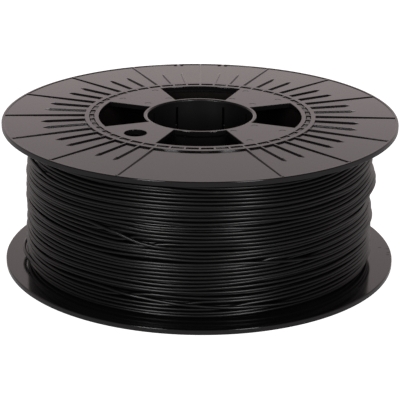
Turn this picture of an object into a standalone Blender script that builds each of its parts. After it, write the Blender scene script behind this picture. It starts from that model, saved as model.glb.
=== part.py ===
"""A reel of 1.75 mm filament for 3-D printers, lying flat on one of its flanges.

Two identical ribbed flanges are plugged onto a winding barrel and a hub tube.
The filament is wound on the barrel between the flanges.  The reel's axis is Z,
its lowest face is at z = 0, and every length is in metres.
"""
import math

import bmesh
import bpy
from mathutils import Matrix, Vector

MM = 0.001
FULL_TURN = 2.0 * math.pi

# Driving dimensions of the reel.
REEL_WIDTH = 77.2 * MM          # outer face to outer face, over the raised rings
RIM_RADIUS = 100.0 * MM
BORE_RADIUS = 26.6 * MM
WOUND_RADIUS = 87.6 * MM        # outside of the filament
FILAMENT_RADIUS = 0.875 * MM
GAP = 0.3 * MM                  # between neighbouring pieces

# The flange, measured from its outer face (z = 0) inwards (z below 0).
RING_OUTER_RADIUS = 58.3 * MM   # raised ring that carries the slots
WINDOW_OUTER_RADIUS = 51.2 * MM
WINDOW_INNER_RADIUS = 28.65 * MM
WINDOW_BASE_HALF_WIDTH = 2.9 * MM
WINDOW_FLARE = 0.39             # how fast a window's side moves out with radius
PLATE_ROOT_Z = -0.7 * MM        # outer plate, set back from the ring
PLATE_RIM_Z = -1.1 * MM         # it falls away a little towards the rim
BEAD_Z = -0.85 * MM             # top of the bead that edges the rim
BEAD_INNER_RADIUS = 98.6 * MM
INNER_FACE_Z = -3.5 * MM
RIM_CHAMFER = 0.4 * MM
WEB_INNER_Z = -2.4 * MM
WEB_RECESS_RADIUS = 52.2 * MM   # the webs are thinner than the ring around them
COLLAR_RADIUS = 28.35 * MM      # collar that the hub tube fits over
COLLAR_END_Z = -22.0 * MM
LIP_CHAMFER = 0.8 * MM

# Slots, ribs and small features of the flange.
SLOT_COUNT = 48
SLOT_PITCH = FULL_TURN / SLOT_COUNT
SLOT_MID_RADIUS = 54.75 * MM
SLOT_DEPTH = 2.5 * MM           # across the ring
BAR_WIDTH = 1.15 * MM           # bridge left between two slots
LONG_RIB_EVERY = 3              # every third rib runs to the rim
BLANK_STEPS = 2                 # rib places left out on each side of the front
FRONT_STEP = 36                 # slot step that points to -Y
RIB_WIDTH = 1.15 * MM
RIB_ROOT_RADIUS = 57.5 * MM
RIB_FOOT_Z = -2.2 * MM
RIB_ROOT_Z = -0.05 * MM         # rib tops start just under the ring's face
LONG_RIB_END_Z = -0.72 * MM
SHORT_RIB_SHOULDER = (77.4 * MM, -0.25 * MM)
SHORT_RIB_TIP = (81.0 * MM, -1.2 * MM)
DRIVE_HOLE_CENTRE = (-31.5 * MM, -31.4 * MM)
DRIVE_HOLE_RADIUS = 5.6 * MM
CLIP_NOTCH_ANGLE = math.radians(7.3)
CLIP_NOTCH_WIDTH = 1.5 * MM
CLIP_NOTCH_Z = -1.05 * MM
CLIP_HOLE_RADIUS = 0.95 * MM
CLIP_HOLE_OFFSET = 1.8 * MM
CLIP_HOLE_PLACE = 96.9 * MM
GATE_ANGLE = math.radians(272.2)
GATE_WIDTH = 3.6 * MM
GATE_RAMP_END = (60.4 * MM, -1.0 * MM)
FINGER_SLIT_ANGLE = math.radians(27.0)
FINGER_SLIT_WIDTH = 1.4 * MM
FINGER_SLIT_TOP_Z = -3.4 * MM

# The barrel and the hub tube.
BARREL_WALL = SLOT_DEPTH - 2.0 * GAP
TOOTH_WIDTH = SLOT_PITCH * SLOT_MID_RADIUS - BAR_WIDTH - 2.0 * GAP
TOOTH_DEPTH = BARREL_WALL - GAP / 2.0
TOOTH_TOP_Z = -0.4 * MM
HUB_TUBE_INNER_RADIUS = COLLAR_RADIUS + GAP
HUB_TUBE_WALL = 1.75 * MM
HUB_TUBE_INSET = 14.0 * MM      # from the reel's face to the tube's end, below the webs
ANCHOR_ANGLE = math.radians(200.0)
ANCHOR_HEIGHT = 9.5 * MM
ANCHOR_HOLE_RADIUS = FILAMENT_RADIUS + GAP
ANCHOR_END_RADIUS = 49.5 * MM

ROUND_STEPS = 96
SMALL_STEPS = 24
PIN_STEPS = 12
OVERSHOOT = 1.0 * MM            # how far a cutter reaches past what it cuts
WELD_DISTANCE = 1e-6

BLACK_PLASTIC = (0.028, 0.026, 0.026, 1.0)
BLACK_FILAMENT = (0.018, 0.018, 0.019, 1.0)


def clear_scene():
    for scene_object in list(bpy.data.objects):
        bpy.data.objects.remove(scene_object, do_unlink=True)


def new_collection(name):
    collection = bpy.data.collections.new(name)
    bpy.context.scene.collection.children.link(collection)
    return collection


def new_material(name, colour, roughness):
    material = bpy.data.materials.new(name)
    material.use_nodes = True
    shader = material.node_tree.nodes["Principled BSDF"]
    shader.inputs["Base Color"].default_value = colour
    shader.inputs["Roughness"].default_value = roughness
    shader.inputs["Metallic"].default_value = 0.0
    return material


def mesh_object(name, bm, collection):
    mesh = bpy.data.meshes.new(name)
    bm.to_mesh(mesh)
    bm.free()
    new_object = bpy.data.objects.new(name, mesh)
    collection.objects.link(new_object)
    return new_object


def turned(name, profile, collection, steps=ROUND_STEPS):
    """A closed (radius, z) profile turned about Z, listed down its outer side."""
    bm = bmesh.new()
    points = [bm.verts.new((radius, 0.0, z)) for radius, z in profile]
    for start, end in zip(points, points[1:] + points[:1]):
        bm.edges.new((start, end))
    new_object = mesh_object(name, bm, collection)
    screw = new_object.modifiers.new("turn", "SCREW")
    screw.angle = FULL_TURN
    screw.steps = steps
    screw.render_steps = steps
    screw.use_merge_vertices = True
    screw.merge_threshold = WELD_DISTANCE
    screw.use_smooth_shade = False
    return new_object


def extruded(outline, thickness):
    """A mesh of a flat outline in XY, extruded evenly about z = 0."""
    curve = bpy.data.curves.new("outline", "CURVE")
    curve.dimensions = "2D"
    curve.fill_mode = "BOTH"
    curve.extrude = thickness / 2.0
    spline = curve.splines.new("POLY")
    spline.points.add(len(outline) - 1)
    for point, (x, y) in zip(spline.points, outline):
        point.co = (x, y, 0.0, 1.0)
    spline.use_cyclic_u = True
    curve_object = bpy.data.objects.new("outline", curve)
    bpy.context.scene.collection.objects.link(curve_object)
    graph = bpy.context.evaluated_depsgraph_get()
    mesh = bpy.data.meshes.new_from_object(curve_object.evaluated_get(graph))
    bpy.data.objects.remove(curve_object, do_unlink=True)
    bm = bmesh.new()
    bm.from_mesh(mesh)
    bmesh.ops.remove_doubles(bm, verts=bm.verts, dist=WELD_DISTANCE)
    bmesh.ops.recalc_face_normals(bm, faces=bm.faces)
    bm.to_mesh(mesh)
    bm.free()
    return mesh


def repeated(name, mesh, matrices, collection):
    """One object holding a copy of the mesh under each matrix."""
    bm = bmesh.new()
    for matrix in matrices:
        copy = mesh.copy()
        copy.transform(matrix)
        bm.from_mesh(copy)
        bpy.data.meshes.remove(copy)
    return mesh_object(name, bm, collection)


def box_mesh(size):
    bm = bmesh.new()
    bmesh.ops.create_cube(bm, size=1.0, matrix=Matrix.Diagonal((*size, 1.0)))
    mesh = bpy.data.meshes.new("box")
    bm.to_mesh(mesh)
    bm.free()
    return mesh


def rod_mesh(radius, length, segments):
    bm = bmesh.new()
    bmesh.ops.create_cone(
        bm, cap_ends=True, segments=segments, radius1=radius, radius2=radius, depth=length
    )
    mesh = bpy.data.meshes.new("rod")
    bm.to_mesh(mesh)
    bm.free()
    return mesh


def polar(radius, angle, z=0.0):
    return Vector((radius * math.cos(angle), radius * math.sin(angle), z))


def placed(radius, angle, z=0.0):
    """The matrix of a feature at a radius and angle, its X axis pointing outwards."""
    return Matrix.Translation(polar(radius, angle, z)) @ Matrix.Rotation(angle, 4, "Z")


def combine(target, tool, operation):
    tool.hide_render = True
    tool.display_type = "WIRE"
    boolean = target.modifiers.new(tool.name, "BOOLEAN")
    boolean.operation = operation
    boolean.solver = "EXACT"
    boolean.object = tool


def finish(target, material):
    target.data.materials.clear()
    target.data.materials.append(material)


# ---------------------------------------------------------------- the flange

def flange_profile():
    return [
        (RING_OUTER_RADIUS, 0.0),
        (RING_OUTER_RADIUS, PLATE_ROOT_Z),
        (BEAD_INNER_RADIUS, PLATE_RIM_Z),
        (BEAD_INNER_RADIUS, BEAD_Z),
        (RIM_RADIUS - RIM_CHAMFER, BEAD_Z),
        (RIM_RADIUS, BEAD_Z - RIM_CHAMFER),
        (RIM_RADIUS, INNER_FACE_Z + RIM_CHAMFER),
        (RIM_RADIUS - RIM_CHAMFER, INNER_FACE_Z),
        (WEB_RECESS_RADIUS, INNER_FACE_Z),
        (WEB_RECESS_RADIUS - GAP, WEB_INNER_Z),
        (COLLAR_RADIUS, WEB_INNER_Z),
        (COLLAR_RADIUS, COLLAR_END_Z),
        (BORE_RADIUS, COLLAR_END_Z),
        (BORE_RADIUS, -LIP_CHAMFER),
        (BORE_RADIUS + LIP_CHAMFER / 2.0, 0.0),
    ]


def window_outline(arc_steps=13):
    """The window on the +X side: two arcs joined by flared straight sides."""
    def corner(radius):
        # Where the side line y = base + flare * x meets a circle.
        base = WINDOW_BASE_HALF_WIDTH
        square = 1.0 + WINDOW_FLARE ** 2
        root = math.sqrt(square * radius ** 2 - base ** 2)
        x = (root - WINDOW_FLARE * base) / square
        return math.atan2(base + WINDOW_FLARE * x, x)

    outline = []
    for radius, direction in ((WINDOW_OUTER_RADIUS, 1.0), (WINDOW_INNER_RADIUS, -1.0)):
        reach = corner(radius)
        for step in range(arc_steps + 1):
            angle = direction * reach * (2.0 * step / arc_steps - 1.0)
            outline.append((radius * math.cos(angle), radius * math.sin(angle)))
    return outline


def rib_mesh(outline, width):
    """A rib standing along +X: its side outline is given as (radius, z)."""
    mesh = extruded(outline, width)
    mesh.transform(Matrix.Rotation(math.pi / 2.0, 4, "X"))
    return mesh


def rib_steps():
    blank = range(FRONT_STEP - BLANK_STEPS, FRONT_STEP + BLANK_STEPS + 1)
    return [step for step in range(SLOT_COUNT) if step not in blank]


def add_ribs(flange, cutters):
    long_rib = rib_mesh(
        [
            (RIB_ROOT_RADIUS, RIB_FOOT_Z),
            (BEAD_INNER_RADIUS + GAP, RIB_FOOT_Z),
            (BEAD_INNER_RADIUS + GAP, LONG_RIB_END_Z),
            (RING_OUTER_RADIUS, RIB_ROOT_Z),
            (RIB_ROOT_RADIUS, RIB_ROOT_Z),
        ],
        RIB_WIDTH,
    )
    short_rib = rib_mesh(
        [
            (RIB_ROOT_RADIUS, RIB_FOOT_Z),
            (SHORT_RIB_TIP[0], RIB_FOOT_Z),
            SHORT_RIB_TIP,
            SHORT_RIB_SHOULDER,
            (RING_OUTER_RADIUS, RIB_ROOT_Z),
            (RIB_ROOT_RADIUS, RIB_ROOT_Z),
        ],
        RIB_WIDTH,
    )
    gate_ramp = rib_mesh(
        [
            (RIB_ROOT_RADIUS, RIB_FOOT_Z),
            (GATE_RAMP_END[0], RIB_FOOT_Z),
            GATE_RAMP_END,
            (RING_OUTER_RADIUS, RIB_ROOT_Z),
            (RIB_ROOT_RADIUS, RIB_ROOT_Z),
        ],
        GATE_WIDTH,
    )
    groups = {
        "long_ribs": (long_rib, [s for s in rib_steps() if s % LONG_RIB_EVERY == 0]),
        "short_ribs": (short_rib, [s for s in rib_steps() if s % LONG_RIB_EVERY]),
    }
    for name, (mesh, steps) in groups.items():
        turns = [placed(0.0, step * SLOT_PITCH) for step in steps]
        combine(flange, repeated(name, mesh, turns, cutters), "UNION")
    gate = repeated("gate_ramp", gate_ramp, [placed(0.0, GATE_ANGLE)], cutters)
    combine(flange, gate, "UNION")


def cut_windows(flange, cutters):
    mesh = extruded(window_outline(), 2.0 * (OVERSHOOT - INNER_FACE_Z))
    turns = [placed(0.0, quarter * math.pi / 2.0) for quarter in range(4)]
    combine(flange, repeated("windows", mesh, turns, cutters), "DIFFERENCE")


def cut_slots(flange, cutters):
    length = SLOT_PITCH * SLOT_MID_RADIUS - BAR_WIDTH
    mesh = box_mesh((SLOT_DEPTH, length, 2.0 * (OVERSHOOT - INNER_FACE_Z)))
    places = [
        placed(SLOT_MID_RADIUS, (step + 0.5) * SLOT_PITCH) for step in range(SLOT_COUNT)
    ]
    combine(flange, repeated("slots", mesh, places, cutters), "DIFFERENCE")


def cut_holes(flange, cutters):
    """The winding machine's drive hole and the holes that hold the filament's end."""
    depth = 2.0 * (OVERSHOOT - INNER_FACE_Z)
    drive = rod_mesh(DRIVE_HOLE_RADIUS, depth, SMALL_STEPS)
    where = Matrix.Translation((*DRIVE_HOLE_CENTRE, 0.0))
    combine(flange, repeated("drive_hole", drive, [where], cutters), "DIFFERENCE")

    clip = rod_mesh(CLIP_HOLE_RADIUS, depth, PIN_STEPS)
    notch = box_mesh((4.0 * OVERSHOOT, CLIP_NOTCH_WIDTH, -2.0 * CLIP_NOTCH_Z))
    holes = []
    notches = []
    for side in (-1.0, 1.0):
        angle = math.pi / 2.0 + side * CLIP_NOTCH_ANGLE
        notches.append(placed(BEAD_INNER_RADIUS + OVERSHOOT, angle))
        for offset in (-CLIP_HOLE_OFFSET, CLIP_HOLE_OFFSET):
            holes.append(placed(CLIP_HOLE_PLACE, angle + offset / CLIP_HOLE_PLACE))
    combine(flange, repeated("clip_holes", clip, holes, cutters), "DIFFERENCE")
    combine(flange, repeated("clip_notches", notch, notches, cutters), "DIFFERENCE")


def slit_collar(flange, cutters):
    """Slits that part the collar into spring fingers, beside each window."""
    height = FINGER_SLIT_TOP_Z - COLLAR_END_Z + OVERSHOOT
    mesh = box_mesh((4.0 * OVERSHOOT, FINGER_SLIT_WIDTH, height))
    middle = FINGER_SLIT_TOP_Z - height / 2.0
    radius = (BORE_RADIUS + COLLAR_RADIUS) / 2.0
    places = []
    for quarter in range(4):
        for side in (-1.0, 1.0):
            angle = quarter * math.pi / 2.0 + side * FINGER_SLIT_ANGLE
            places.append(placed(radius, angle, middle))
    combine(flange, repeated("collar_slits", mesh, places, cutters), "DIFFERENCE")


def add_flanges(parts, cutters, material):
    """One moulding used twice: its outer face looks up on top and down below."""
    pattern = turned("flange_pattern", flange_profile(), cutters)
    cut_slots(pattern, cutters)
    cut_windows(pattern, cutters)
    add_ribs(pattern, cutters)
    cut_holes(pattern, cutters)
    slit_collar(pattern, cutters)
    weld = pattern.modifiers.new("weld", "WELD")
    weld.merge_threshold = WELD_DISTANCE
    graph = bpy.context.evaluated_depsgraph_get()
    mesh = bpy.data.meshes.new_from_object(pattern.evaluated_get(graph))
    bpy.data.objects.remove(pattern, do_unlink=True)

    upper = bpy.data.objects.new("upper_flange", mesh)
    upper.location.z = REEL_WIDTH
    # Turned over about the line from the front to the back, so the clip notches stay together.
    lower = bpy.data.objects.new("lower_flange", mesh)
    lower.rotation_euler = (0.0, math.pi, 0.0)
    finish(upper, material)
    for flange in (upper, lower):
        parts.objects.link(flange)


# ------------------------------------------------- the barrel and the hub tube

def add_barrel(parts, cutters, material):
    """The tube that carries the filament, with teeth that fill the flange slots."""
    inner = SLOT_MID_RADIUS - BARREL_WALL / 2.0
    outer = SLOT_MID_RADIUS + BARREL_WALL / 2.0
    low = GAP - INNER_FACE_Z
    high = REEL_WIDTH - low
    barrel = turned(
        "winding_barrel", [(outer, high), (outer, low), (inner, low), (inner, high)], parts
    )
    rows = {
        "upper_teeth": (high - OVERSHOOT, REEL_WIDTH + TOOTH_TOP_Z),
        "lower_teeth": (-TOOTH_TOP_Z, low + OVERSHOOT),
    }
    for name, (bottom, top) in rows.items():
        mesh = box_mesh((TOOTH_DEPTH, TOOTH_WIDTH, top - bottom))
        middle = (top + bottom) / 2.0
        places = [
            placed(SLOT_MID_RADIUS, (step + 0.5) * SLOT_PITCH, middle)
            for step in range(SLOT_COUNT)
        ]
        combine(barrel, repeated(name, mesh, places, cutters), "UNION")
    anchor = rod_mesh(ANCHOR_HOLE_RADIUS, 6.0 * OVERSHOOT, PIN_STEPS)
    anchor.transform(Matrix.Rotation(math.pi / 2.0, 4, "Y"))
    where = [placed(SLOT_MID_RADIUS, ANCHOR_ANGLE, ANCHOR_HEIGHT)]
    combine(barrel, repeated("anchor_hole", anchor, where, cutters), "DIFFERENCE")
    finish(barrel, material)


def add_hub_tube(parts, material):
    """The tube between the flanges that the ends of their collars snap into."""
    inner = HUB_TUBE_INNER_RADIUS
    outer = inner + HUB_TUBE_WALL
    low = HUB_TUBE_INSET
    high = REEL_WIDTH - HUB_TUBE_INSET
    hub = turned("hub_tube", [(outer, high), (outer, low), (inner, low), (inner, high)], parts)
    finish(hub, material)


# ---------------------------------------------------------------- the filament

def add_filament(parts, cutters, material):
    """The wound strand: a body of inner layers and the last layer around it."""
    barrel_radius = SLOT_MID_RADIUS + BARREL_WALL / 2.0
    skin_inner = WOUND_RADIUS - 2.0 * FILAMENT_RADIUS
    low = GAP - INNER_FACE_Z
    high = REEL_WIDTH - low
    shoulder = FILAMENT_RADIUS

    body_inner = barrel_radius + GAP
    body_outer = skin_inner - GAP
    body = turned(
        "filament_inner_layers",
        [(body_outer, high), (body_outer, low), (body_inner, low), (body_inner, high)],
        parts,
    )
    length = body_inner + OVERSHOOT - ANCHOR_END_RADIUS
    start = rod_mesh(FILAMENT_RADIUS, length, PIN_STEPS)
    start.transform(Matrix.Rotation(math.pi / 2.0, 4, "Y"))
    where = [placed(ANCHOR_END_RADIUS + length / 2.0, ANCHOR_ANGLE, ANCHOR_HEIGHT)]
    combine(body, repeated("anchored_start", start, where, cutters), "UNION")
    finish(body, material)

    skin = turned(
        "filament_outer_layer",
        [
            (WOUND_RADIUS - shoulder, high),
            (WOUND_RADIUS, high - shoulder),
            (WOUND_RADIUS, low + shoulder),
            (WOUND_RADIUS - shoulder, low),
            (skin_inner, low),
            (skin_inner, high),
        ],
        parts,
    )
    finish(skin, material)


def shade_parts(parts):
    """Round walls are smooth, and edges sharper than 30 degrees stay crisp."""
    for mesh in {part.data for part in parts.objects}:
        mesh.shade_smooth()
        mesh.set_sharp_from_angle(angle=math.radians(30.0))


def main():
    clear_scene()
    parts = new_collection("filament_spool")
    cutters = new_collection("cutters")
    plastic = new_material("reel_plastic", BLACK_PLASTIC, 0.42)
    filament = new_material("filament", BLACK_FILAMENT, 0.36)
    add_flanges(parts, cutters, plastic)
    add_barrel(parts, cutters, plastic)
    add_hub_tube(parts, plastic)
    add_filament(parts, cutters, filament)
    shade_parts(parts)


main()
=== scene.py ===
"""The finished look of a reel of 1.75 mm filament that lies flat on one of its flanges.

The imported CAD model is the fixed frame.  Both flanges are rebuilt as fine mouldings, the
filament is laid turn by turn as one strand, and the barrel and hub tube keep their CAD
shape.  Lengths are in metres, the reel's axis is Z and its lowest face is at z = 0.
"""

import math

import bmesh
import bpy
import numpy as np
from mathutils import Matrix, Vector


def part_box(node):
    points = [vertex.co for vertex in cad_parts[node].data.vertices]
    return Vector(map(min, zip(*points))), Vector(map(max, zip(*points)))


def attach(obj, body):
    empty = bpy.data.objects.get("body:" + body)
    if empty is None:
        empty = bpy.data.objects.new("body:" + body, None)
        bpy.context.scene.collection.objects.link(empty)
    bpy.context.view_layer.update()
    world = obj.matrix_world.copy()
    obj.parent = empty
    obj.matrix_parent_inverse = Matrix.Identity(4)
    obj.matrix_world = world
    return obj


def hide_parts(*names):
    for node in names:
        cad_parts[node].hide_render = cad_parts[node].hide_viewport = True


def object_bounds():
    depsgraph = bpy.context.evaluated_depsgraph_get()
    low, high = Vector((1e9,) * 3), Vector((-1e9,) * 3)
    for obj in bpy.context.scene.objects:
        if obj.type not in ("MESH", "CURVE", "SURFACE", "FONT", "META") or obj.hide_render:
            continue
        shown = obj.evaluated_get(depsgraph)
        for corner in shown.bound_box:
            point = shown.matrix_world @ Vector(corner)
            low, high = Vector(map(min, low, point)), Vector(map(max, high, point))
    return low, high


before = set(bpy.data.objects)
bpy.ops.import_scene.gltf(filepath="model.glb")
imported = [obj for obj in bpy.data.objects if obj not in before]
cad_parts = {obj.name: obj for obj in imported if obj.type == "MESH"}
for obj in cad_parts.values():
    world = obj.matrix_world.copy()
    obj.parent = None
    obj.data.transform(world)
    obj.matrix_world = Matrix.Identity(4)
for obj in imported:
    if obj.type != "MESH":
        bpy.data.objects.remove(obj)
cad_low, cad_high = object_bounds()

MM = 0.001
FULL_TURN = 2.0 * math.pi
QUARTER = math.pi / 2.0
UP = Vector((0.0, 0.0, 1.0))

# Sizes that come from the frame.
REEL_WIDTH = cad_high.z - cad_low.z
RIM_RADIUS = (cad_high.x - cad_low.x) / 2.0
INNER_LOW, INNER_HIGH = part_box("filament_inner_layers")
WOUND_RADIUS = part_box("filament_outer_layer")[1].x

# The flange moulding, measured from its outer face (z = 0) inwards (z below 0).
BORE_RADIUS = 26.6 * MM
RING_OUTER_RADIUS = 58.3 * MM
WINDOW_OUTER_RADIUS = 51.2 * MM
WINDOW_INNER_RADIUS = 28.65 * MM
WINDOW_BASE_HALF_WIDTH = 2.9 * MM
WINDOW_FLARE = 0.39
PLATE_ROOT_Z = -0.7 * MM
PLATE_RIM_Z = -1.1 * MM
BEAD_Z = -0.85 * MM
BEAD_INNER_RADIUS = 98.6 * MM
INNER_FACE_Z = -3.5 * MM
WEB_INNER_Z = -2.4 * MM
WEB_RECESS_RADIUS = 52.2 * MM
COLLAR_RADIUS = 28.35 * MM
COLLAR_END_Z = -22.0 * MM
SLOT_COUNT = 48
SLOT_PITCH = FULL_TURN / SLOT_COUNT
SLOT_MID_RADIUS = 54.75 * MM
SLOT_DEPTH = 2.5 * MM
BAR_WIDTH = 1.15 * MM
LONG_RIB_EVERY = 3              # of the bars between the slots, one in three has a long rib
FRONT_STEP = 36                 # the bar at the front
BLANK_STEPS = 2                 # bars without a rib on each side of it
RIB_HALF_WIDTH = 0.57 * MM
RIB_TOP_ROUND = 0.1 * MM
RIB_FOOT = 0.1 * MM
RIB_DRAFT = 0.02 * MM
RIB_SINK = 0.9 * MM             # how far a rib reaches into the plate
RIB_ROOT_RADIUS = 57.5 * MM
RIB_TOP_DROP = 0.04 * MM
LONG_RIB_END = (BEAD_INNER_RADIUS + 0.3 * MM, 0.72 * MM)    # radius, drop below the ring's face
SHORT_RIB_SHOULDER = (77.4 * MM, 0.25 * MM)
SHORT_RIB_TIP = (81.0 * MM, 1.0 * MM)
GATE_RAMP_END = (60.4 * MM, 0.8 * MM)
DRIVE_HOLE_CENTRE = (-31.5 * MM, -31.4 * MM)
DRIVE_HOLE_RADIUS = 5.6 * MM
CLIP_ANGLE = math.radians(7.3)
CLIP_NOTCH_HALF_WIDTH = 0.75 * MM
CLIP_NOTCH_Z = -1.05 * MM
CLIP_HOLE_RADIUS = 0.95 * MM
CLIP_HOLE_OFFSET = 1.8 * MM
CLIP_HOLE_PLACE = 96.9 * MM
GATE_ANGLE = math.radians(272.2)
GATE_HALF_WIDTH = 1.8 * MM
FINGER_SLIT_ANGLE = math.radians(27.0)
FINGER_SLIT_HALF_WIDTH = 0.7 * MM
FINGER_SLIT_TOP_Z = -3.4 * MM
EJECTOR_RADIUS = 1.7 * MM
EJECTOR_DEPTH = 0.1 * MM
EJECTOR_MARKS = [(16.5, 27.5), (27.0, 18.5), (40.5, 26.5), (24.0, 42.0)]    # x and y on a web, mm
MOULD_MARK_HALF_LENGTH = 0.8 * MM
MOULD_MARK_WIDTH = 0.45 * MM
MOULD_MARK_DEPTH = 0.15 * MM
MOULD_MARKS = [(98.6, 178.2), (98.5, 181.2), (98.0, 182.9), (94.8, 177.0)]  # radius in mm, degrees
FLANGE_STEPS = 288
SHARP_EDGE = math.radians(50.0)
LEVEL_FACE = 0.9995             # a face whose normal is this close to upright is shaded flat

# The wound strand.
STRAND_RADIUS = 0.875 * MM
STRAND_SIDES = 12
ROWS = 36
CLOSEST_PITCH = 1.66 * MM       # neighbours this close rest a little on each other
STEPS_PER_TURN = 180
SEAM_ANGLE = QUARTER            # each turn starts behind the reel
WINDING_SEED = 7
SWAY_LEVELS = 9                 # heights between which the rows sway together
SWAY_WIDTH = 13.0               # steps over which the common sway changes
SWAY = 0.9 * MM
STRAY_WIDTH = 8.0               # steps over which a single turn strays
STRAY = 0.85 * MM
GAP_FADE = 5.0 * MM             # how fast a gap's push fades above and below it
MOST_SUNK = 0.3 * MM            # how far a turn can lie below the winding's outside
RETURN_START = 385.0            # crossing turns go back to their row behind the reel
RETURN_END = 425.0
UNDER_SIDES = 8
UNDER_STEPS = 120
UNDER_STRAY = 0.3 * MM
UNDER_DEPTH = 1.47 * MM         # from the last layer down to the one below it
CORE_DEPTH = 0.6 * MM           # from there down to the core's ridges
CORE_RIDGE = 0.5 * MM
CORE_BORE_RADIUS = 56.0 * MM
CORE_STEPS = 96

# The camera, with a 36 mm wide sensor.
CAMERA_LENS = 143.4
CAMERA_PLACE = (0.0, -0.7720, 0.3155)
CAMERA_HEADING = math.radians(-0.019)
CAMERA_DOWN = math.radians(20.228)
CAMERA_ROLL = math.radians(0.442)


# ------------------------------------------------------------------ mesh tools

def build_mesh(name, points, faces):
    mesh = bpy.data.meshes.new(name)
    mesh.from_pydata([tuple(p) for p in points], [], faces)
    mesh.update()
    return mesh


def show(name, mesh, material, matrix=Matrix.Identity(4)):
    """A shown piece made of this mesh."""
    piece = bpy.data.objects.new(name, mesh)
    bpy.context.scene.collection.objects.link(piece)
    piece.matrix_world = matrix
    mesh.materials.clear()
    mesh.materials.append(material)
    return piece


def filleted(corners, arc_steps=4):
    """A closed outline whose corners (x, y, radius) are rounded."""
    outline = []
    count = len(corners)
    for i, (x, y, radius) in enumerate(corners):
        here = Vector((x, y))
        to_last = Vector(corners[i - 1][:2]) - here
        to_next = Vector(corners[(i + 1) % count][:2]) - here
        if radius <= 0.0:
            outline.append((x, y))
            continue
        half = to_last.angle(to_next) / 2.0
        cut = radius / math.tan(half)
        start = here + to_last.normalized() * cut
        end = here + to_next.normalized() * cut
        centre = here + (to_last.normalized() + to_next.normalized()).normalized() * (
            radius / math.sin(half)
        )
        first, last = start - centre, end - centre
        sweep = first.angle_signed(last)
        for step in range(arc_steps + 1):
            turn = Matrix.Rotation(-sweep * step / arc_steps, 2)
            outline.append(tuple(centre + turn @ first))
    return outline


def lathe(name, profile, steps):
    """A closed (radius, z) profile turned about Z, listed down its outer side."""
    angles = np.arange(steps) * FULL_TURN / steps
    radii = np.array([p[0] for p in profile])
    heights = np.array([p[1] for p in profile])
    count = len(profile)
    points = np.empty((steps, count, 3))
    points[:, :, 0] = np.cos(angles)[:, None] * radii
    points[:, :, 1] = np.sin(angles)[:, None] * radii
    points[:, :, 2] = heights
    faces = []
    for step in range(steps):
        after = (step + 1) % steps
        for i in range(count):
            j = (i + 1) % count
            faces.append((step * count + i, step * count + j, after * count + j, after * count + i))
    return build_mesh(name, points.reshape(-1, 3), faces)


def loft(name, rings):
    """A closed solid through rings of equally many points, with a cap at each end."""
    count = len(rings[0])
    points = [p for ring in rings for p in ring]
    faces = []
    for level in range(len(rings) - 1):
        for i in range(count):
            j = (i + 1) % count
            low, high = level * count, (level + 1) * count
            faces.append((low + i, low + j, high + j, high + i))
    faces.append(tuple(reversed(range(count))))
    faces.append(tuple(range((len(rings) - 1) * count, len(rings) * count)))
    mesh = build_mesh(name, points, faces)
    bm = bmesh.new()
    bm.from_mesh(mesh)
    bmesh.ops.recalc_face_normals(bm, faces=bm.faces)
    bm.to_mesh(mesh)
    bm.free()
    return mesh


def grown(outline, distance):
    """The outline with each side moved out by a distance."""
    count = len(outline)
    result = []
    for i in range(count):
        here = Vector(outline[i])
        into = (here - Vector(outline[i - 1])).normalized()
        out_of = (Vector(outline[(i + 1) % count]) - here).normalized()
        normal_in = Vector((into.y, -into.x))
        normal_out = Vector((out_of.y, -out_of.x))
        mitre = (normal_in + normal_out) / (1.0 + normal_in.dot(normal_out))
        result.append(tuple(here + mitre * distance))
    return result


def cutter(name, outline, levels):
    """A prism that widens by `grow` at each (z, grow) level."""
    rings = []
    for z, grow in levels:
        rings.append([(x, y, z) for x, y in grown(outline, grow)])
    return loft(name, rings)


def through_levels(edge, low=INNER_FACE_Z):
    """Levels of a cutter that goes right through and breaks both edges."""
    reach = 1.0 * MM
    return [
        (low - reach, edge + reach),
        (low + 0.35 * edge, 0.45 * edge),
        (low + edge, 0.0),
        (-edge, 0.0),
        (-0.35 * edge, 0.35 * edge),
        (reach, edge + reach),
    ]


def circle(radius, steps, centre=(0.0, 0.0)):
    return [
        (
            centre[0] + radius * math.cos(i * FULL_TURN / steps),
            centre[1] + radius * math.sin(i * FULL_TURN / steps),
        )
        for i in range(steps)
    ]


def rectangle(half_length, low, high):
    """An outline that reaches half_length along X each way, and from low to high along Y."""
    return [(half_length, low), (half_length, high), (-half_length, high), (-half_length, low)]


def polar(radius, angle, z=0.0):
    """The point at a radius and an angle about the reel's axis."""
    return Vector((radius * math.cos(angle), radius * math.sin(angle), z))


def placed(radius, angle, z=0.0):
    """The matrix of a feature at a radius and angle, its X axis pointing outwards."""
    return Matrix.Translation(polar(radius, angle, z)) @ Matrix.Rotation(angle, 4, "Z")


def copies(name, mesh, matrices):
    """One mesh that holds a copy under each matrix."""
    bm = bmesh.new()
    for matrix in matrices:
        copy = mesh.copy()
        copy.transform(matrix)
        bm.from_mesh(copy)
        bpy.data.meshes.remove(copy)
    joined = bpy.data.meshes.new(name)
    bm.to_mesh(joined)
    bm.free()
    return joined


def carved(body, tools):
    """The body's mesh after each (operation, tool mesh) in turn."""
    scene = bpy.context.scene
    target = bpy.data.objects.new("carved", body)
    scene.collection.objects.link(target)
    helpers = []
    for operation, tool in tools:
        helper = bpy.data.objects.new(tool.name, tool)
        scene.collection.objects.link(helper)
        helpers.append(helper)
        boolean = target.modifiers.new(tool.name, "BOOLEAN")
        boolean.operation = operation
        boolean.solver = "EXACT"
        boolean.object = helper
    graph = bpy.context.evaluated_depsgraph_get()
    result = bpy.data.meshes.new_from_object(target.evaluated_get(graph))
    for thing in [target, *helpers]:
        bpy.data.objects.remove(thing, do_unlink=True)
    return result


# ------------------------------------------------------------------ the flange

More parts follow.
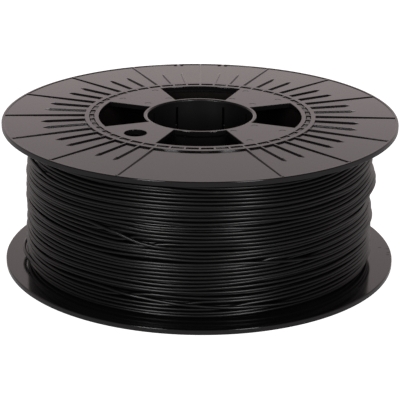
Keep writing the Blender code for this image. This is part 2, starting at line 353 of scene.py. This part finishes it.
def flange_profile():
    """The flange's section, from the ring's outer edge round the rim to the collar and bore."""
    return filleted(
        [
            (RING_OUTER_RADIUS, 0.0, 0.15 * MM),
            (RING_OUTER_RADIUS, PLATE_ROOT_Z, 0.1 * MM),
            (BEAD_INNER_RADIUS, PLATE_RIM_Z, 0.08 * MM),
            (BEAD_INNER_RADIUS, BEAD_Z, 0.1 * MM),
            (RIM_RADIUS, BEAD_Z, 0.45 * MM),
            (RIM_RADIUS, INNER_FACE_Z, 0.4 * MM),
            (WEB_RECESS_RADIUS, INNER_FACE_Z, 0.3 * MM),
            (WEB_RECESS_RADIUS, WEB_INNER_Z, 0.3 * MM),
            (COLLAR_RADIUS, WEB_INNER_Z, 0.0),
            (COLLAR_RADIUS, COLLAR_END_Z, 0.3 * MM),
            (BORE_RADIUS, COLLAR_END_Z, 0.3 * MM),
            (BORE_RADIUS, 0.0, 0.8 * MM),
        ]
    )


def window_outline(arc_steps=25):
    """The window on the +X side: two arcs joined by flared straight sides."""
    def corner(radius):
        # Where the side line y = base + flare * x meets a circle.
        base = WINDOW_BASE_HALF_WIDTH
        square = 1.0 + WINDOW_FLARE ** 2
        root = math.sqrt(square * radius ** 2 - base ** 2)
        x = (root - WINDOW_FLARE * base) / square
        return math.atan2(base + WINDOW_FLARE * x, x)

    outline = []
    for radius, direction in ((WINDOW_OUTER_RADIUS, 1.0), (WINDOW_INNER_RADIUS, -1.0)):
        reach = corner(radius)
        for step in range(arc_steps + 1):
            angle = direction * reach * (2.0 * step / arc_steps - 1.0)
            outline.append((radius * math.cos(angle), radius * math.sin(angle)))
    return outline


def plate_height(radius):
    """The outer plate's surface, which falls away a little towards the rim."""
    share = (radius - RING_OUTER_RADIUS) / (BEAD_INNER_RADIUS - RING_OUTER_RADIUS)
    return PLATE_ROOT_Z + (PLATE_RIM_Z - PLATE_ROOT_Z) * share


def rib(name, stations, half_width):
    """A rib along +X with a rounded top and a filleted foot.

    Each station is (radius, drop), where drop is how far its top lies under the ring face."""
    rings = []
    for radius, drop in stations:
        top = -drop
        plate = plate_height(radius)
        foot_top = min(plate + RIB_FOOT, top - 1.5 * RIB_TOP_ROUND)
        side = [
            (half_width + RIB_FOOT, plate - RIB_SINK),
            (half_width + RIB_FOOT, foot_top - 1.15 * RIB_FOOT),
            (half_width, foot_top),
            (half_width - RIB_DRAFT, top - RIB_TOP_ROUND),
            (half_width - RIB_DRAFT - 0.4 * RIB_TOP_ROUND, top - 0.3 * RIB_TOP_ROUND),
            (half_width - RIB_DRAFT - RIB_TOP_ROUND, top),
        ]
        right = [(radius, y, z) for y, z in side]
        left = [(radius, -y, z) for y, z in reversed(side)]
        rings.append(right + left)
    return loft(name, rings)


def slot_and_window_tools():
    slot_half = (SLOT_PITCH * SLOT_MID_RADIUS - BAR_WIDTH) / 2.0
    across = SLOT_DEPTH / 2.0
    slot_corners = [(x, y, 0.2 * MM) for x, y in rectangle(across, -slot_half, slot_half)]
    slot_outline = filleted(slot_corners, 2)
    slot = cutter("slot", slot_outline, through_levels(0.13 * MM))
    slot_places = [placed(SLOT_MID_RADIUS, (s + 0.5) * SLOT_PITCH) for s in range(SLOT_COUNT)]

    window = cutter("window", window_outline(), through_levels(0.3 * MM, WEB_INNER_Z))
    quarters = [placed(0.0, quarter * QUARTER) for quarter in range(4)]
    return [
        ("DIFFERENCE", copies("slots", slot, slot_places)),
        ("DIFFERENCE", copies("windows", window, quarters)),
    ]


def rib_tools():
    """The ribs and the short ramp that the mould's gate leaves, all rooted in the ring."""
    blank = range(FRONT_STEP - BLANK_STEPS, FRONT_STEP + BLANK_STEPS + 1)
    steps = [s for s in range(SLOT_COUNT) if s not in blank]
    root = (RIB_ROOT_RADIUS, RIB_TOP_DROP)
    ring_edge = (RING_OUTER_RADIUS, RIB_TOP_DROP)
    long_rib = rib("long_rib", [root, ring_edge, LONG_RIB_END], RIB_HALF_WIDTH)
    long_places = [placed(0.0, s * SLOT_PITCH) for s in steps if s % LONG_RIB_EVERY == 0]
    short_stations = [root, ring_edge, SHORT_RIB_SHOULDER, SHORT_RIB_TIP]
    short_rib = rib("short_rib", short_stations, RIB_HALF_WIDTH)
    short_places = [placed(0.0, s * SLOT_PITCH) for s in steps if s % LONG_RIB_EVERY]
    gate = rib("gate", [root, ring_edge, GATE_RAMP_END], GATE_HALF_WIDTH)
    return [
        ("UNION", copies("long_ribs", long_rib, long_places)),
        ("UNION", copies("short_ribs", short_rib, short_places)),
        ("UNION", copies("gate_ramp", gate, [placed(0.0, GATE_ANGLE)])),
    ]


def hole_tools():
    """The drive hole, the filament clip's holes and notches, and the collar's slits."""
    drive_outline = circle(DRIVE_HOLE_RADIUS, 48, DRIVE_HOLE_CENTRE)
    drive = cutter("drive", drive_outline, through_levels(0.2 * MM, WEB_INNER_Z))
    clip = cutter("clip", circle(CLIP_HOLE_RADIUS, 20), through_levels(0.1 * MM))
    notch_outline = rectangle(2.0 * MM, -CLIP_NOTCH_HALF_WIDTH, CLIP_NOTCH_HALF_WIDTH)
    notch = cutter("notch", notch_outline, [(CLIP_NOTCH_Z, 0.0), (-CLIP_NOTCH_Z, 0.0)])
    clip_places, notch_places = [], []
    for side in (-1.0, 1.0):
        angle = QUARTER + side * CLIP_ANGLE
        notch_places.append(placed(BEAD_INNER_RADIUS + 1.0 * MM, angle))
        for offset in (-CLIP_HOLE_OFFSET, CLIP_HOLE_OFFSET):
            clip_places.append(placed(CLIP_HOLE_PLACE, angle + offset / CLIP_HOLE_PLACE))

    slit_outline = rectangle(2.0 * MM, -FINGER_SLIT_HALF_WIDTH, FINGER_SLIT_HALF_WIDTH)
    slit = cutter("slit", slit_outline, [(COLLAR_END_Z - 1.0 * MM, 0.0), (FINGER_SLIT_TOP_Z, 0.0)])
    collar_middle = (BORE_RADIUS + COLLAR_RADIUS) / 2.0
    slit_places = [
        placed(collar_middle, quarter * QUARTER + side * FINGER_SLIT_ANGLE)
        for quarter in range(4)
        for side in (-1.0, 1.0)
    ]
    return [
        ("DIFFERENCE", drive),
        ("DIFFERENCE", copies("clip_holes", clip, clip_places)),
        ("DIFFERENCE", copies("clip_notches", notch, notch_places)),
        ("DIFFERENCE", copies("collar_slits", slit, slit_places)),
    ]


def mark_tools():
    """The ejector pins' marks on the webs and small marks on the inner face."""
    ejector_outline = circle(EJECTOR_RADIUS, 28)
    ejector = cutter("ejector", ejector_outline, [(-EJECTOR_DEPTH, 0.0), (EJECTOR_DEPTH, 0.0)])
    ejector_places = [
        Matrix.Translation((side_x * x * MM, side_y * y * MM, 0.0))
        for x, y in EJECTOR_MARKS
        for side_x in (-1.0, 1.0)
        for side_y in (-1.0, 1.0)
        if (side_x, side_y) != (-1.0, -1.0)      # the drive hole's web has none
    ]
    mark_outline = rectangle(MOULD_MARK_HALF_LENGTH, 0.0, MOULD_MARK_WIDTH)
    mark_levels = [(INNER_FACE_Z - 1.0 * MM, 0.0), (INNER_FACE_Z + MOULD_MARK_DEPTH, 0.0)]
    mark = cutter("mark", mark_outline, mark_levels)
    mark_places = [placed(radius * MM, math.radians(angle)) for radius, angle in MOULD_MARKS]
    return [
        ("DIFFERENCE", copies("ejector_marks", ejector, ejector_places)),
        ("DIFFERENCE", copies("mould_marks", mark, mark_places)),
    ]


def flange_tools():
    """Everything that is cut from or added to the turned body, in order."""
    return [*slot_and_window_tools(), *rib_tools(), *hole_tools(), *mark_tools()]


def add_flanges(material):
    """One moulding used twice: its outer face looks up on top and down below."""
    body = lathe("flange_body", flange_profile(), FLANGE_STEPS)
    mesh = carved(body, flange_tools())
    mesh.name = "flange"
    mesh.shade_smooth()
    mesh.set_sharp_from_angle(angle=SHARP_EDGE)
    for polygon in mesh.polygons:
        if abs(polygon.normal.z) > LEVEL_FACE:
            polygon.use_smooth = False
    places = {
        "upper_flange": Matrix.Translation(UP * REEL_WIDTH),
        "lower_flange": Matrix.Rotation(math.pi, 4, "Y"),
    }
    for node, matrix in places.items():
        piece = show(node + "_moulding", mesh, material, matrix)
        weighted = piece.modifiers.new("weighted_normals", "WEIGHTED_NORMAL")
        weighted.keep_sharp = True
        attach(piece, "root")
        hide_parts(node)


# ---------------------------------------------------------------- the filament

def smoothed(values, width):
    """Values blurred along their last, cyclic axis by a Gaussian of this many steps."""
    count = values.shape[-1]
    frequency = np.fft.rfftfreq(count)
    window = np.exp(-2.0 * (math.pi * frequency * width) ** 2)
    return np.fft.irfft(np.fft.rfft(values, axis=-1) * window, n=count, axis=-1)


def random_waves(rng, rows, count, width):
    """Smooth cyclic noise of unit strength, one line for each row, its first value also last."""
    waves = smoothed(rng.standard_normal((rows, count)), width)
    waves = waves / waves.std()
    return np.concatenate([waves, waves[:, :1]], axis=1)


def swell(angles, centre, reach):
    """A smooth bump, 1 at the centre angle and 0 beyond its reach (degrees)."""
    away = (np.degrees(angles) - centre + 180.0) % 360.0 - 180.0
    return np.where(np.abs(away) < reach, 0.5 + 0.5 * np.cos(math.pi * away / reach), 0.0)


def ramp(angles, start, end):
    """Rises smoothly from 0 at the start angle to 1 at the end angle (degrees)."""
    t = np.clip((np.degrees(angles) - start) / (end - start), 0.0, 1.0)
    return t * t * (3.0 - 2.0 * t)


def packed_column(targets, low, high):
    """The nearest heights to the targets that keep the closest pitch between rows."""
    shift = CLOSEST_PITCH * np.arange(len(targets))
    blocks = []
    for value in targets - shift:
        blocks.append([value, 1])
        while len(blocks) > 1 and blocks[-2][0] > blocks[-1][0]:
            last = blocks.pop()
            total = blocks[-1][1] + last[1]
            blocks[-1] = [(blocks[-1][0] * blocks[-1][1] + last[0] * last[1]) / total, total]
    level = np.concatenate([np.full(size, value) for value, size in blocks])
    return np.clip(level, low, high - shift[-1]) + shift


def packed_rows(targets, low, high):
    """Heights of all rows, packed column by column and smoothed a little along the turn."""
    columns = [packed_column(column, low, high) for column in targets.T]
    return smoothed_turn(np.array(columns).T, 1.5)


def smoothed_turn(rows, width):
    """Blurs each row along the turn without joining its end to its start."""
    radius = int(4 * width)
    offsets = np.arange(-radius, radius + 1)
    kernel = np.exp(-0.5 * (offsets / width) ** 2)
    kernel /= kernel.sum()
    padded = np.pad(rows, ((0, 0), (radius, radius)), mode="edge")
    return np.array([np.convolve(row, kernel, mode="valid") for row in padded])


def resting_radius(heights, below_heights, below_radius):
    """How far out a strand rests on the strands under it."""
    width = 2.0 * STRAND_RADIUS
    apart = heights[:, None, :] - below_heights[None, :, :]
    lift = np.sqrt(np.clip(width ** 2 - apart ** 2, 0.0, None))
    touching = np.where(np.abs(apart) < width, below_radius + lift, 0.0)
    return touching.max(axis=1)


def strand_mesh(name, centres, sides):
    """A closed tube along the centre line, with flat ends."""
    ahead = np.gradient(centres, axis=0)
    ahead /= np.linalg.norm(ahead, axis=1, keepdims=True)
    out = centres * np.array([1.0, 1.0, 0.0])
    out -= ahead * (out * ahead).sum(axis=1, keepdims=True)
    out /= np.linalg.norm(out, axis=1, keepdims=True)
    side = np.cross(ahead, out)
    around = np.arange(sides) * FULL_TURN / sides
    points = centres[:, None, :] + STRAND_RADIUS * (
        np.cos(around)[None, :, None] * out[:, None, :]
        + np.sin(around)[None, :, None] * side[:, None, :]
    )
    count = len(centres)
    index = np.arange(count * sides).reshape(count, sides)
    a, b = index[:-1], index[1:]
    quads = np.stack([a, np.roll(a, -1, 1), np.roll(b, -1, 1), b], axis=-1).reshape(-1, 4)
    faces = [tuple(q) for q in quads.tolist()]
    faces.append(tuple(reversed(range(sides))))
    faces.append(tuple(range((count - 1) * sides, count * sides)))
    mesh = build_mesh(name, points.reshape(-1, 3), faces)
    mesh.shade_smooth()
    return mesh


def turn_angles(steps):
    """The angles of one turn's points, from the seam round to the seam again."""
    return SEAM_ANGLE + np.arange(steps + 1) * FULL_TURN / steps


def centre_line(heights, radii, angles):
    """One continuous line through all turns; each turn's last point is the next one's first."""
    flat_angle = np.tile(angles[:-1], len(heights))
    z, r = heights[:, :-1].ravel(), radii[:, :-1].ravel()
    return np.stack([r * np.cos(flat_angle), r * np.sin(flat_angle), z], axis=1)


# Angles and reaches are in degrees from here on.
# Places where the rows part and show the layer below: (angle, height, reach, opening).
GAPS = [
    (325.0, 59.4 * MM, 18.0, 1.6 * MM),
    (246.0, 46.2 * MM, 14.0, 0.9 * MM),
    (256.0, 50.0 * MM, 14.0, 0.7 * MM),
    (258.0, 67.3 * MM, 16.0, 0.8 * MM),
    (286.0, 29.0 * MM, 14.0, 0.8 * MM),
    (289.0, 48.9 * MM, 13.0, 0.7 * MM),
    (290.0, 60.2 * MM, 12.0, 0.7 * MM),
    (258.0, 24.6 * MM, 14.0, 0.7 * MM),
    (210.0, 30.0 * MM, 22.0, 0.8 * MM),
    (300.0, 14.0 * MM, 24.0, 0.6 * MM),
    (200.0, 12.0 * MM, 18.0, 1.0 * MM),
]

# Turns that leave their row, ride over their neighbours and come back behind the reel:
# (row, rows crossed, leaves at, settled at).
CROSSINGS = [
    (21, -3, 232.0, 264.0),
    (14, -3, 280.0, 316.0),
    (5, -4, 228.0, 318.0),
    (29, 2, 306.0, 338.0),
    (31, -2, 192.0, 222.0),
]

# Where the winding stands proud or lies deeper: (angle, height, reach, half height, how far out).
BULGES = [
    (3.0, 46.0 * MM, 25.0, 4.4 * MM, 2.3 * MM),
    (354.0, 38.5 * MM, 30.0, 4.0 * MM, -1.0 * MM),
    (354.0, 21.0 * MM, 34.0, 5.0 * MM, 0.7 * MM),
    (355.0, 57.0 * MM, 30.0, 3.5 * MM, -0.6 * MM),
    (190.0, 24.0 * MM, 65.0, 22.0 * MM, 0.8 * MM),
    (184.0, 53.0 * MM, 26.0, 8.0 * MM, -0.8 * MM),
    (184.0, 36.0 * MM, 22.0, 4.0 * MM, 0.7 * MM),
    (184.0, 31.0 * MM, 24.0, 3.5 * MM, -1.3 * MM),
    (187.0, 8.5 * MM, 20.0, 1.1 * MM, 2.6 * MM),
]


def bulged(radii, heights, angles):
    """Row radii with the bulges added."""
    out = radii.copy()
    for angle, height, reach, half_height, amount in BULGES:
        near = np.exp(-((heights - height) / half_height) ** 2)
        out += amount * near * swell(angles, angle, reach)[None, :]
    return out


def outer_rows(rng, low, high):
    """The angles and heights of the last layer's turns, and where each rides over others."""
    angles = turn_angles(STEPS_PER_TURN)
    pitch = (high - low) / ROWS
    rows = np.arange(ROWS)[:, None]
    share = (angles - SEAM_ANGLE)[None, :] / FULL_TURN
    base = low + pitch * (rows + share)
    count = STEPS_PER_TURN
    settle = np.sin((angles - SEAM_ANGLE) / 2.0) ** 0.5
    together = random_waves(rng, SWAY_LEVELS, count, SWAY_WIDTH)
    level = np.clip((base - low) / (high - low), 0.0, 1.0) * (SWAY_LEVELS - 1)
    lower = np.clip(level.astype(int), 0, SWAY_LEVELS - 2)
    blend = level - lower
    column = np.arange(count + 1)[None, :]
    sway = together[lower, column] * (1.0 - blend) + together[lower + 1, column] * blend
    alone = random_waves(rng, ROWS, count, STRAY_WIDTH)
    targets = base + settle * (SWAY * sway + STRAY * alone)
    for angle, height, reach, opening in GAPS:
        away = targets - height
        push = np.sign(away) * np.exp(-np.abs(away) / GAP_FADE) * opening
        targets = targets + push * swell(angles, angle, reach)[None, :]
    heights = packed_rows(targets, low, high)

    riding = np.zeros((ROWS, count + 1), bool)
    moved = heights.copy()
    for row, crossed, leaves, settled in CROSSINGS:
        back = ramp(angles, RETURN_START, RETURN_END)
        progress = ramp(angles, leaves, settled) - back
        direction = 1 if crossed > 0 else -1
        away = progress * abs(crossed)
        place = np.clip(np.floor(away).astype(int), 0, abs(crossed) - 1)
        part = away - place
        columns = np.arange(count + 1)
        start = heights[row + direction * place, columns]
        end = heights[row + direction * (place + 1), columns]
        moved[row] = start + (end - start) * part
        riding[row] = (progress > 0.01) & (progress < 0.99)
        for passed in range(1, abs(crossed) + 1):
            t = np.clip(away - passed + 1.0, 0.0, 1.0)
            t = t * t * (3.0 - 2.0 * t)
            other = row + direction * passed
            moved[other] = heights[other] + (heights[other - direction] - heights[other]) * t
    return angles, moved, riding


def add_filament(material):
    """The deeper layers as a core, the layer below the last one, and the last layer on it."""
    rng = np.random.default_rng(WINDING_SEED)
    low = INNER_LOW.z + STRAND_RADIUS
    high = INNER_HIGH.z - STRAND_RADIUS
    under_radius = WOUND_RADIUS - STRAND_RADIUS - UNDER_DEPTH

    # The layer below, wound the other way.
    angles = turn_angles(UNDER_STEPS)
    rows = np.arange(ROWS)[:, None]
    share = (angles - SEAM_ANGLE)[None, :] / FULL_TURN
    pitch = (high - low) / ROWS
    base = high - pitch * (rows + share)
    alone = random_waves(rng, ROWS, UNDER_STEPS, STRAY_WIDTH)
    settle = np.sin((angles - SEAM_ANGLE) / 2.0) ** 0.5
    targets = base + UNDER_STRAY * settle * alone
    under = packed_rows(targets[::-1], low, high)[::-1]
    radii = np.full_like(under, under_radius)
    line = centre_line(under, bulged(radii, under, angles), angles)
    body = strand_mesh("under_strand", line, UNDER_SIDES)

    # The core that the deeper layers make, ridged where their turns show.
    core_top = under_radius - CORE_DEPTH
    profile = []
    for z in np.linspace(INNER_HIGH.z, INNER_LOW.z, 6 * ROWS + 1):
        ridge = CORE_RIDGE * abs(math.sin(math.pi * (z - INNER_LOW.z) / pitch))
        profile.append((core_top - CORE_RIDGE + ridge, z))
    profile += [(CORE_BORE_RADIUS, INNER_LOW.z), (CORE_BORE_RADIUS, INNER_HIGH.z)]
    core = lathe("core", profile, CORE_STEPS)
    core.shade_smooth()
    core.set_sharp_from_angle(angle=SHARP_EDGE)
    bm = bmesh.new()
    bm.from_mesh(body)
    bm.from_mesh(core)
    inner = bpy.data.meshes.new("inner_layers")
    bm.to_mesh(inner)
    bm.free()
    piece = show("filament_inner_turns", inner, material)
    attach(piece, "root")
    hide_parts("filament_inner_layers")

    # The last layer.
    angles, heights, riding = outer_rows(rng, low, high)
    columns = np.linspace(0, UNDER_STEPS, STEPS_PER_TURN + 1)
    below = np.array([np.interp(columns, np.arange(UNDER_STEPS + 1), row) for row in under])
    radii = resting_radius(heights, below, under_radius)
    radii = np.maximum(radii, WOUND_RADIUS - STRAND_RADIUS - MOST_SUNK)
    riders = [i for i in range(ROWS) if riding[i].any()]
    order = [i for i in rng.permutation(ROWS) if i not in riders] + riders
    width = 2.0 * STRAND_RADIUS
    for place, i in enumerate(order):
        laid = order[:place]
        if laid:
            apart = heights[i][None, :] - heights[laid]
            lift = np.sqrt(np.clip(width ** 2 - apart ** 2, 0.0, None))
            resting = np.where(np.abs(apart) < width, radii[laid] + lift, 0.0).max(axis=0)
            radii[i] = np.maximum(resting, radii[i])
        radii[i] = smoothed_turn(radii[i][None, :], 2.0)[0]
    line = centre_line(heights, bulged(radii, heights, angles), angles)
    piece = show("filament_last_layer", strand_mesh("last_layer", line, STRAND_SIDES), material)
    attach(piece, "root")
    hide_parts("filament_outer_layer")


# ------------------------------------------------------------------- materials

def worn_bore(nodes, links, place, roughness):
    """Roughness that rises to a scuffed value on the wall of the bore."""
    flat = nodes.new("ShaderNodeVectorMath")
    flat.operation = "MULTIPLY"
    flat.inputs[1].default_value = (1.0, 1.0, 0.0)
    links.new(place.outputs["Object"], flat.inputs[0])
    distance = nodes.new("ShaderNodeVectorMath")
    distance.operation = "LENGTH"
    links.new(flat.outputs["Vector"], distance.inputs[0])
    wear = nodes.new("ShaderNodeMapRange")
    wear.inputs["From Min"].default_value = BORE_RADIUS + 0.05 * MM
    wear.inputs["From Max"].default_value = BORE_RADIUS + 0.4 * MM
    wear.inputs["To Min"].default_value = 0.2
    wear.inputs["To Max"].default_value = 0.0
    links.new(distance.outputs["Value"], wear.inputs["Value"])
    total = nodes.new("ShaderNodeMath")
    total.operation = "ADD"
    links.new(wear.outputs["Result"], total.inputs[0])
    links.new(roughness, total.inputs[1])
    return total.outputs["Value"]


def plastic_material(name, colour, roughness, spread, grain, grain_size, index=1.5, worn=False):
    """Moulded plastic: satin, with a fine spark-eroded grain and faint flow marks."""
    material = bpy.data.materials.new(name)
    material.use_nodes = True
    nodes, links = material.node_tree.nodes, material.node_tree.links
    shader = nodes["Principled BSDF"]
    shader.inputs["IOR"].default_value = index
    place = nodes.new("ShaderNodeTexCoord")

    flow = nodes.new("ShaderNodeTexNoise")
    flow.inputs["Scale"].default_value = 45.0
    flow.inputs["Detail"].default_value = 4.0
    links.new(place.outputs["Object"], flow.inputs["Vector"])

    tint = nodes.new("ShaderNodeValToRGB")
    tint.color_ramp.elements[0].position = 0.3
    tint.color_ramp.elements[0].color = (*[0.85 * c for c in colour], 1.0)
    tint.color_ramp.elements[1].position = 0.7
    tint.color_ramp.elements[1].color = (*[1.15 * c for c in colour], 1.0)
    links.new(flow.outputs["Fac"], tint.inputs["Fac"])
    links.new(tint.outputs["Color"], shader.inputs["Base Color"])

    rough = nodes.new("ShaderNodeMapRange")
    rough.inputs["From Min"].default_value = 0.3
    rough.inputs["From Max"].default_value = 0.7
    rough.inputs["To Min"].default_value = roughness - spread
    rough.inputs["To Max"].default_value = roughness + spread
    links.new(flow.outputs["Fac"], rough.inputs["Value"])
    result = rough.outputs["Result"]
    if worn:
        result = worn_bore(nodes, links, place, result)
    links.new(result, shader.inputs["Roughness"])

    texture = nodes.new("ShaderNodeTexNoise")
    texture.inputs["Scale"].default_value = 1.0 / grain_size
    texture.inputs["Detail"].default_value = 2.0
    links.new(place.outputs["Object"], texture.inputs["Vector"])
    bump = nodes.new("ShaderNodeBump")
    bump.inputs["Strength"].default_value = 1.0
    bump.inputs["Distance"].default_value = grain
    links.new(texture.outputs["Fac"], bump.inputs["Height"])
    links.new(bump.outputs["Normal"], shader.inputs["Normal"])
    return material


# ------------------------------------------------------- floor, light, camera

def add_floor():
    """White paper just under the reel, which only the camera sees."""
    bm = bmesh.new()
    bmesh.ops.create_grid(bm, x_segments=1, y_segments=1, size=6.0)
    mesh = bpy.data.meshes.new("floor")
    bm.to_mesh(mesh)
    bm.free()
    material = bpy.data.materials.new("floor_paper")
    material.use_nodes = True
    shader = material.node_tree.nodes["Principled BSDF"]
    shader.inputs["Base Color"].default_value = (0.95, 0.95, 0.95, 1.0)
    shader.inputs["Roughness"].default_value = 0.9
    shader.inputs["Specular IOR Level"].default_value = 0.0
    shader.inputs["Emission Color"].default_value = (1.0, 1.0, 1.0, 1.0)
    shader.inputs["Emission Strength"].default_value = 0.97
    floor = show("floor", mesh, material, Matrix.Translation(-0.2 * MM * UP))
    floor.visible_glossy = False
    floor.visible_diffuse = False


def add_world():
    """A pale studio: a bright warm backdrop behind, a dim room in front and above."""
    world = bpy.data.worlds.new("studio")
    bpy.context.scene.world = world
    world.use_nodes = True
    nodes, links = world.node_tree.nodes, world.node_tree.links
    nodes.clear()
    output = nodes.new("ShaderNodeOutputWorld")
    place = nodes.new("ShaderNodeTexCoord")
    split = nodes.new("ShaderNodeSeparateXYZ")
    links.new(place.outputs["Generated"], split.inputs["Vector"])

    depth = nodes.new("ShaderNodeValToRGB")
    set_ramp(depth, [
        (0.0, (0.12, 0.12, 0.12)),
        (0.35, (0.12, 0.12, 0.12)),
        (0.6, (0.18, 0.165, 0.165)),
        (0.8, (0.5, 0.44, 0.44)),
        (0.95, (1.0, 0.865, 0.865)),
    ])
    links.new(scaled(nodes, links, split.outputs["Y"]), depth.inputs["Fac"])

    height = nodes.new("ShaderNodeValToRGB")
    set_ramp(height, [
        (0.0, (1.1, 1.1, 1.1)),
        (0.62, (1.0, 1.0, 1.0)),
        (0.645, (0.88, 0.88, 0.88)),
        (0.69, (0.73, 0.73, 0.73)),
        (0.78, (0.5, 0.5, 0.5)),
        (0.95, (0.3, 0.3, 0.3)),
    ])
    links.new(scaled(nodes, links, split.outputs["Z"]), height.inputs["Fac"])
    product = nodes.new("ShaderNodeMix")
    product.data_type = "RGBA"
    product.blend_type = "MULTIPLY"
    product.inputs["Factor"].default_value = 1.0
    links.new(depth.outputs["Color"], product.inputs[6])
    links.new(height.outputs["Color"], product.inputs[7])

    horizon = nodes.new("ShaderNodeMapRange")
    horizon.inputs["From Min"].default_value = -0.04
    horizon.inputs["From Max"].default_value = 0.04
    links.new(split.outputs["Z"], horizon.inputs["Value"])
    ground = nodes.new("ShaderNodeMix")
    ground.data_type = "RGBA"
    ground.inputs[6].default_value = (0.4, 0.38, 0.38, 1.0)
    links.new(horizon.outputs["Result"], ground.inputs["Factor"])
    links.new(product.outputs[2], ground.inputs[7])

    room = nodes.new("ShaderNodeBackground")
    links.new(ground.outputs[2], room.inputs["Color"])
    paper = nodes.new("ShaderNodeBackground")
    paper.inputs["Color"].default_value = (1.0, 1.0, 1.0, 1.0)
    path = nodes.new("ShaderNodeLightPath")
    mix = nodes.new("ShaderNodeMixShader")
    links.new(path.outputs["Is Camera Ray"], mix.inputs["Fac"])
    links.new(room.outputs["Background"], mix.inputs[1])
    links.new(paper.outputs["Background"], mix.inputs[2])
    links.new(mix.outputs["Shader"], output.inputs["Surface"])


def scaled(nodes, links, component):
    """A direction's component, moved from -1..1 to 0..1."""
    half = nodes.new("ShaderNodeMath")
    half.operation = "MULTIPLY_ADD"
    half.inputs[1].default_value = 0.5
    half.inputs[2].default_value = 0.5
    links.new(component, half.inputs[0])
    return half.outputs["Value"]


def set_ramp(node, points):
    """Fills a colour ramp with (position, colour) points."""
    elements = node.color_ramp.elements
    while len(elements) < len(points):
        elements.new(0.5)
    for element, (position, colour) in zip(elements, points):
        element.position = position
        element.color = (*colour, 1.0)


def add_softbox(name, direction, distance, width, height, power):
    """A rectangular lamp that faces the middle of the reel from a direction."""
    light = bpy.data.lights.new(name, "AREA")
    light.shape = "RECTANGLE"
    light.size = width
    light.size_y = height
    light.energy = power
    lamp = bpy.data.objects.new(name, light)
    bpy.context.scene.collection.objects.link(lamp)
    target = Vector((0.0, 0.0, REEL_WIDTH / 2.0))
    towards = Vector(direction).normalized()
    lamp.location = target + towards * distance
    lamp.rotation_euler = towards.to_track_quat("Z", "Y").to_euler()
    return lamp


def add_lights():
    for side in (-1.0, 1.0):
        name = "softbox_left" if side < 0 else "softbox_right"
        towards = (0.43 * side, -0.83, 0.35)
        add_softbox(name, towards, distance=2.0, width=0.42, height=0.9, power=13.0)


def add_camera():
    camera = bpy.data.cameras.new("camera")
    camera.sensor_width = 36.0
    camera.lens = CAMERA_LENS
    camera.clip_start = 0.05
    camera.clip_end = 50.0
    holder = bpy.data.objects.new("camera", camera)
    bpy.context.scene.collection.objects.link(holder)
    heading = Matrix.Rotation(CAMERA_HEADING, 4, "Z")
    tilt = Matrix.Rotation(QUARTER - CAMERA_DOWN, 4, "X")
    roll = Matrix.Rotation(CAMERA_ROLL, 4, "Z")
    holder.matrix_world = Matrix.Translation(CAMERA_PLACE) @ heading @ tilt @ roll
    bpy.context.scene.camera = holder


def main():
    reel = plastic_material(
        "reel_plastic", (0.007, 0.0065, 0.0065), roughness=0.13, spread=0.02,
        grain=0.001 * MM, grain_size=0.35 * MM, worn=True,
    )
    core = plastic_material(
        "barrel_plastic", (0.012, 0.009, 0.0085), roughness=0.3, spread=0.06,
        grain=0.003 * MM, grain_size=0.4 * MM,
    )
    strand = plastic_material(
        "filament", (0.0032, 0.0028, 0.0028), roughness=0.3, spread=0.02,
        grain=0.0001 * MM, grain_size=0.6 * MM, index=1.45,
    )
    add_flanges(reel)
    add_filament(strand)
    for node in ("winding_barrel", "hub_tube"):
        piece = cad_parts[node]
        piece.data.materials.clear()
        piece.data.materials.append(core)
    add_floor()
    add_world()
    add_lights()
    add_camera()
    bpy.context.scene.view_settings.view_transform = "Standard"


main()
